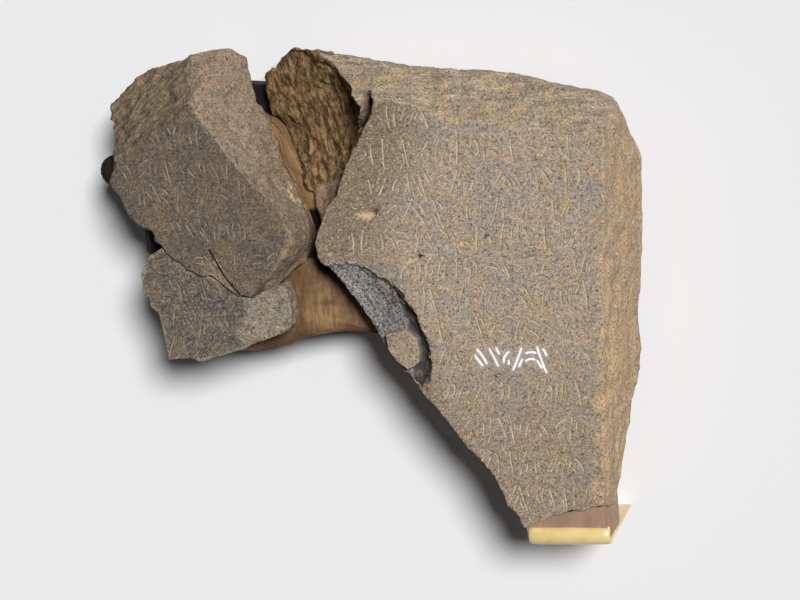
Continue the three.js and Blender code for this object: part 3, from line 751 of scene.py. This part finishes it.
# The crack is sunk, and the stone is painted near black along it: painted shade.
split_near = np.where(front > 0.3, in_crack(points), FAR)
points[:, 2] -= 4.0 * np.clip(1 - (split_near / 1.1) ** 2, 0, 1)
points = keep_in_box(points)
rims = stroke_field(links(PALE_RIMS), (-80.0, -15.0), (-20.0, 120.0))(spots)
pale_rim = (1 - ease(0.4, 1.4, rims)) * ease(0.2, 0.5, grain(points, 2.0, 56)) * (1 - front)
ALONG_SCORES = ((4.0, 1.0, 1.0), (0, 0, SCORE_TURN))
DOWN_SLOPE = ((2.0, 1.0, 1.0), (0, 0, -0.5))
UPPER_TONES = LARGE_TONES | {
    "face": "#62564b", "face_cool": "#5b534c", "face_warm": "#70604c", "face_tint": "#85745e",
    "painted_shade_brown": "#5b4f45", "slope": "#93806a", "side_warm": "#9c7f58",
    "slope_dark": "#78695a", "slope_warm": "#92755a", "run": DOWN_SLOPE,
    "side": "#957a58", "side_dark": "#84694a", "deep": "#50463a", "deep_pale": "#7f6f5a",
    "deep_warm": "#7f6b4e", "split": ALONG_SCORES, "pore": "#2c2620", "fleck": "#8d8170",
    "dust": "#9c8d79", "dust_least": 0.25, "dust_most": 0.9,
}
upper_stone = put_mesh("upper_stone", points, faces,
                       basalt("dark_skinned_basalt", UPPER_TONES, (0.3, 0.1, 0)))
add_masks(upper_stone, {"stroke": away, "slope": np.clip(right_slope + 0.5 * wedge, 0, 1), "side": coated,
                        "deep": np.clip(scored, 0, 1), "painted_shade": 1 - ease(0.4, 1.2, split_near),
                        "cream": pale_rim})
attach(upper_stone, "root")
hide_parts("upper_left_fragment")

# Lower-left fragment: a thin slab of the same stone, darker and more speckled, set against the one above.
# Its broken rim is paler, and so is the part at its right, which carries no writing.

LOWER_ROWS = [(9.5, -131, -98), (-11.5, -138, -90), (-31.0, -143, -110)]
PALE_PART = [(-75, 2), (-64, 2), (-40, 8), (-34, -10), (-36, -30), (-60, -40), (-74, -44), (-82, -30),
             (-74, -14)]
LOWER_OUTLINE = [
    (-127, 21), (-115, 12), (-97, 8), (-78, -4), (-68, -3), (-56, 3), (-47, 6), (-43, 0), (-41, -12),
    (-40, -22), (-46, -28), (-70, -37), (-75, -41), (-92, -47), (-106, -52), (-115, -51), (-131, -53),
    (-133, -37), (-137, -19), (-142, -17), (-144, -10), (-149, -6), (-149, 6), (-144, 19), (-134, 26)]
points, faces = node_shell("lower_left_fragment")
lower_field = stroke_field(written_rows(LOWER_ROWS, ROW_HEIGHT, 33), (-165.0, -50.0), (-40.0, 50.0))


def lower_spacing(middles):
    """Longest edge allowed on the lower-left fragment: short at its strokes, long low on its rim."""
    front = middles[:, 2] > 75.5
    size = np.where(front & (lower_field(middles) < 1.4), 0.8, 1.7)
    return np.where(middles[:, 2] < 58, 6.0, size)


points, faces = refine(points, faces, lower_spacing)
points[:, :2] += 0.8 * ragged(points, 130)
points = relax(points, faces, 4)
out = normals_of(points, faces)
spots = on_sheet(points)
front = ease(0.85, 0.95, out[:, 2])
hidden = ease(0.3, 0.6, -out[:, 2])
rim = 1 - ease(0.5, 3.0, inside(spots, LOWER_OUTLINE) + 1.2 * grain(points, 4, 81))
rough = 0.7 * grain(points, 9, 82) + 0.45 * fine_grain(points, 4, 83)
lift = front * (0.3 * grain(points, 18, 84) + 0.25 * grain(points, 5, 85) + 0.16 * grain(points, 2.2, 86))
lift += (1 - front) * 0.8 * rough
points = points + out * (lift * (1 - hidden))[:, None]
away = np.where(front > 0.5, lower_field(points), FAR)
points = keep_in_box(cut_strokes(points, away))
pale = ease(-3, 3, inside(spots, PALE_PART) + 2.5 * grain(points, 6, 88))
LOWER_TONES = UPPER_TONES | {
    "face": "#5d564f", "face_cool": "#514c47", "face_warm": "#6f614e", "face_tint": "#8a7f6e",
    "slope": "#9d917f", "slope_dark": "#7d7365", "slope_warm": "#a98f66", "pore": "#26221e",
    "fleck": "#a39a8a",
}
lower_stone = put_mesh("lower_stone", points, faces,
                       basalt("speckled_basalt", LOWER_TONES, (0.7, 0.4, 0), 0.55, 1.55))
add_masks(lower_stone, {"stroke": away, "slope": np.clip(np.maximum(0.75 * pale, 0.7 * rim), 0, 1)})
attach(lower_stone, "root")
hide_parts("lower_left_fragment")

# Backing: a modern panel with a pad between the fragments and a lug at the left edge, moulded in one from
# filled resin and brushed over with a matt ochre-brown coat. It is fitted round the backs of the stones.

SEAM_STRIP = [(-90, 120), (-90, 80), (-60, 44), (-24, 44), (-40, 90), (-60, 120)]
SEAM_FOOT = [(-52, 49), (-20, 51), (-14, 30), (-24, 8), (-33, 20), (-40, 32)]
LUG_CENTRE = (-176, 73)
LEFT_HOLE = [(-162, 46), (-142, 46), (-130, 28), (-146, 14), (-162, 18)]
points, faces = node_shell("backing")
points, faces = refine(points, faces, lambda middles: np.where(middles[:, 2] < BACKING_TOP, 8.0, 2.2))
points = relax(points, faces, 20)
on_top = (points[:, 2] > 24) & (normals_of(points, faces)[:, 2] > 0.3)
points[:, 2] = np.where(on_top, relax(points, faces, 40, (0.5, 0.5))[:, 2], points[:, 2])
out = normals_of(points, faces)
brushed = np.stack([points[:, 0], points[:, 1] / 7, points[:, 2]], axis=1)
lift = 0.35 * grain(points, 18, 91) + 0.14 * grain(brushed, 2.4, 92)
points = keep_in_box(points + out * (lift * (points[:, 2] > BACKING_TOP))[:, None])
spots = on_sheet(points)


def coated_resin(name, light, middle, stain, painted_shade, waves):
    """Filled resin under a brushed matt coat: soft cloudy colour, drawn out along the brush strokes."""
    material, tree = bare_material(name)
    place = node(tree, "TexCoord").outputs["Object"]
    brush = node(tree, "Mapping", {"Vector": place, "Scale": (1.0, 0.16, 1.0)}).outputs[0]
    noise = {key: node(tree, "TexNoise", {"Vector": where, "Scale": 1 / (size * MM), "Detail": 5.0,
                                          "Roughness": 0.6}).outputs[0]
             for key, (where, size) in {"cloud": (place, waves), "brush": (brush, 2.2),
                                        "grit": (place, 0.9)}.items()}
    painted_shade_share, ochre = (node(tree, "Attribute", attribute_name=key, attribute_type="GEOMETRY").outputs["Fac"]
                        for key in ("painted_shade", "ochre"))
    share = ranges(tree, {"cloud": (noise["cloud"], 0.40, 0.60, 0.0, 1.0),
                          "brush": (noise["brush"], 0.4, 0.65, 0.0, 0.6)})
    # The last layer is painted shade: the darkest colour goes where the mesh asks for it.
    colour = layered(tree, linear(middle), [(share["cloud"], light), (share["brush"], stain),
                                            (ochre, light), (painted_shade_share, painted_shade)])
    height = node(tree, "Math", {0: noise["brush"], 1: noise["grit"]}, operation="ADD")
    bump = node(tree, "Bump", {"Height": height.outputs[0], "Strength": 0.35, "Distance": 0.4 * MM})
    shade = node(tree, "BsdfPrincipled", {"Base Color": colour, "Roughness": 0.7, "Normal": bump.outputs[0]})
    shade.inputs["Specular IOR Level"].default_value = 0.25
    node(tree, "OutputMaterial", {"Surface": shade.outputs[0]})
    return material


backing = put_mesh("backing_shell", points, faces,
                   coated_resin("brushed_resin", "#90724e", "#6b5138", "#523c27", "#120d0a", 20))
# Painted shade: the panel below the stones, the holes beside them and the lug by the slab are painted near
# black, as they lie in deep shade.
panel_shade = 1 - ease(BACKING_TOP - 1, BACKING_TOP + 0.5, points[:, 2])
lug = 0.9 * (1 - ease(13, 16, np.hypot(spots[:, 0] - LUG_CENTRE[0], spots[:, 1] - LUG_CENTRE[1])))
hole_shade = ease(-2, 1, np.maximum(inside(spots, SEAM_FOOT), inside(spots, LEFT_HOLE)))
painted_shade_share = np.maximum(np.maximum(panel_shade, lug), hole_shade)
by_the_slab = (1 - ease(-120, -60, spots[:, 0])) * (points[:, 2] > 40)
ochre = 0.8 * ease(-2, 2, inside(spots, SEAM_STRIP)) + 0.5 * by_the_slab
for key, values in (("painted_shade", painted_shade_share), ("ochre", ochre)):
    backing.data.attributes.new(key, "FLOAT", "POINT").data.foreach_set("value", values.astype(np.float32))
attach(backing, "root")
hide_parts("backing")

# Foot block: the missing foot made good with smooth toned plaster, cut off square and fitted to the seam.

points, faces = node_shell("foot_block")
points, faces = refine(points, faces, lambda middles: np.full(len(middles), 1.6))
points = relax(points, faces, 3)
out = normals_of(points, faces)
points = points + out * (0.18 * grain(points, 14, 95) + 0.06 * grain(points, 3, 96) - 0.1)[:, None]
foot = put_mesh("foot_fill", points, faces,
                coated_resin("toned_plaster", "#a58870", "#997d68", "#8d715d", "#7d6350", 15))
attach(foot, "root")
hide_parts("foot_block")

# Wall bracket: 3 mm steel bent into a lip, a shelf and a wall flange, its edges eased and the whole brushed
# with glossy cream enamel, which pools a little and has a few nibs in it.

LIP_HEIGHT = 12.5
points, faces = node_shell("wall_bracket")
points, faces = refine(points, faces, lambda middles: np.full(len(middles), 2.2))
points = relax(points, faces, 8)
out = normals_of(points, faces)
across = 2 * (points[:, 0] - points[:, 0].min()) / np.ptp(points[:, 0]) - 1
up = 2 * (points[:, 1] - points[:, 1].min()) / LIP_HEIGHT - 1
crown = 2.8 * np.clip(np.abs(up), 0, 1) ** 1.8 + 1.8 * np.abs(across) ** 12
points[:, 2] -= ease(75, 77, points[:, 2]) * crown
points = keep_in_box(points + out * (0.10 * grain(points, 9, 98) + 0.05 * grain(points, 3, 99))[:, None])
cream_enamel, tree = bare_material("cream_enamel")
place = node(tree, "TexCoord").outputs["Object"]
noise = {key: node(tree, "TexNoise", {"Vector": place, "Scale": 1 / (size * MM), "Detail": 3.0}).outputs[0]
         for key, size in {"pool": 14, "nib": 1.8}.items()}
share = ranges(tree, {"pool": (noise["pool"], 0.35, 0.7, 0.0, 1.0),
                      "nib": (noise["nib"], 0.66, 0.74, 0.0, 0.5)})
colour = layered(tree, linear("#e8ce93"), [(share["pool"], "#d9bb7a"), (share["nib"], "#f4e9c8")])
height = node(tree, "Math", {0: noise["pool"], 1: share["nib"]}, operation="ADD")
bump = node(tree, "Bump", {"Height": height.outputs[0], "Strength": 0.25, "Distance": 0.5 * MM})
shade = node(tree, "BsdfPrincipled", {"Base Color": colour, "Roughness": 0.28, "Normal": bump.outputs[0]})
shade.inputs["Coat Weight"].default_value = 0.3
node(tree, "OutputMaterial", {"Surface": shade.outputs[0]})
bracket = put_mesh("wall_bracket_skin", points, faces, cream_enamel)
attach(bracket, "root")
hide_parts("wall_bracket")
